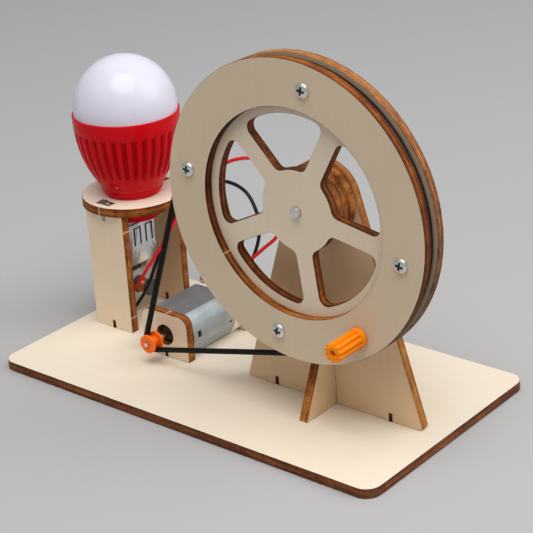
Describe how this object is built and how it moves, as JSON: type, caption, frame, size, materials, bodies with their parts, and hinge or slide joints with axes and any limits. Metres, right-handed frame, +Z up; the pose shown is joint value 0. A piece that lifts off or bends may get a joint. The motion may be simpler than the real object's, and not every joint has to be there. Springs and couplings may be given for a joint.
{
  "type": "hand crank generator",
  "caption": "Plywood hand crank generator: a spoked crank wheel drives a small motor by belt, which lights a plug-in lamp on a tower through a step-up board.",
  "frame": {"origin": "centre of the base board's underside", "axes": "+X along the base from the lamp tower towards the wheel stand, +Y to the back, away from the crank handle, +Z up"},
  "size_m": [0.1579, 0.082, 0.1161],
  "materials": {
    "plywood": "laser cut basswood plywood, unfinished",
    "steel": "bare or nickel plated steel",
    "orange_plastic": "moulded plastic, semi-gloss",
    "belt_rubber": "matt black rubber",
    "cream_plastic": "moulded plastic",
    "brass": "bare brass",
    "copper": "enamelled or bare copper",
    "ferrite": "dark sintered ferrite",
    "red_plastic": "moulded plastic, glossy",
    "dome_plastic": "frosted white plastic",
    "white_plastic": "white plastic",
    "circuit_board": "white solder mask",
    "capacitor": "ceramic",
    "black_plastic": "moulded chip package",
    "red_insulation": "soft insulation",
    "black_insulation": "soft insulation"
  },
  "bodies": {
    "frame": {"base_board": "plywood", "stand_plate": "plywood", "stand_gusset": "plywood", "bearing_disc_front": "plywood", "bearing_disc_back": "plywood", "drive_belt": "belt_rubber", "motor_can": "steel", "motor_end_cap": "cream_plastic", "motor_bushings": "brass", "motor_terminals": "brass", "motor_brushes": "copper", "motor_magnets": "ferrite", "motor_front_bracket": "plywood", "motor_rear_bracket": "plywood", "tower_front_board": "plywood", "tower_rear_board": "plywood", "lamp_plate": "plywood", "socket_shell": "steel", "socket_tongue": "white_plastic", "booster_board": "circuit_board", "inductor_core": "ferrite", "inductor_winding": "copper", "booster_capacitors": "capacitor", "booster_chip": "black_plastic", "red_wire": "red_insulation", "black_wire": "black_insulation"},
    "wheel": {"wheel_front_ring": "plywood", "wheel_spoke_disc": "plywood", "wheel_rear_ring": "plywood", "wheel_hub_disc": "plywood", "wheel_screws": "steel", "wheel_nuts": "steel", "wheel_axle": "steel", "axle_collar": "cream_plastic"},
    "handle": {"handle_knob": "orange_plastic", "handle_pin": "steel"},
    "rotor": {"motor_pulley": "orange_plastic", "motor_shaft": "steel", "armature_core": "steel", "armature_windings": "copper", "commutator": "copper"},
    "lamp": {"lamp_cup": "red_plastic", "lamp_dome": "dome_plastic", "led_board": "white_plastic", "leds": "white_plastic", "plug_shell": "steel", "plug_insert": "white_plastic"}
  },
  "joints": [
    {"name": "wheel_spin", "type": "hinge", "parent": "frame", "child": "wheel", "pos_m": [0.0345, -0.0157, 0.0701], "axis": [0, 1, 0], "continuous": true},
    {"name": "handle_spin", "type": "hinge", "parent": "wheel", "child": "handle", "pos_m": [0.05721, -0.0202, 0.03766], "axis": [0, 1, 0], "continuous": true},
    {"name": "motor_spin", "type": "hinge", "parent": "frame", "child": "rotor", "pos_m": [-0.03, -0.0157, 0.0107], "axis": [0, 1, 0], "continuous": true},
    {"name": "lamp_lift", "type": "slide", "parent": "frame", "child": "lamp", "axis": [0, 0, 1], "range_m": [0, 0.013]}
  ],
  "couplings": [
    {"joint": "motor_spin", "follows": "wheel_spin", "ratio": 17.077}
  ]
}
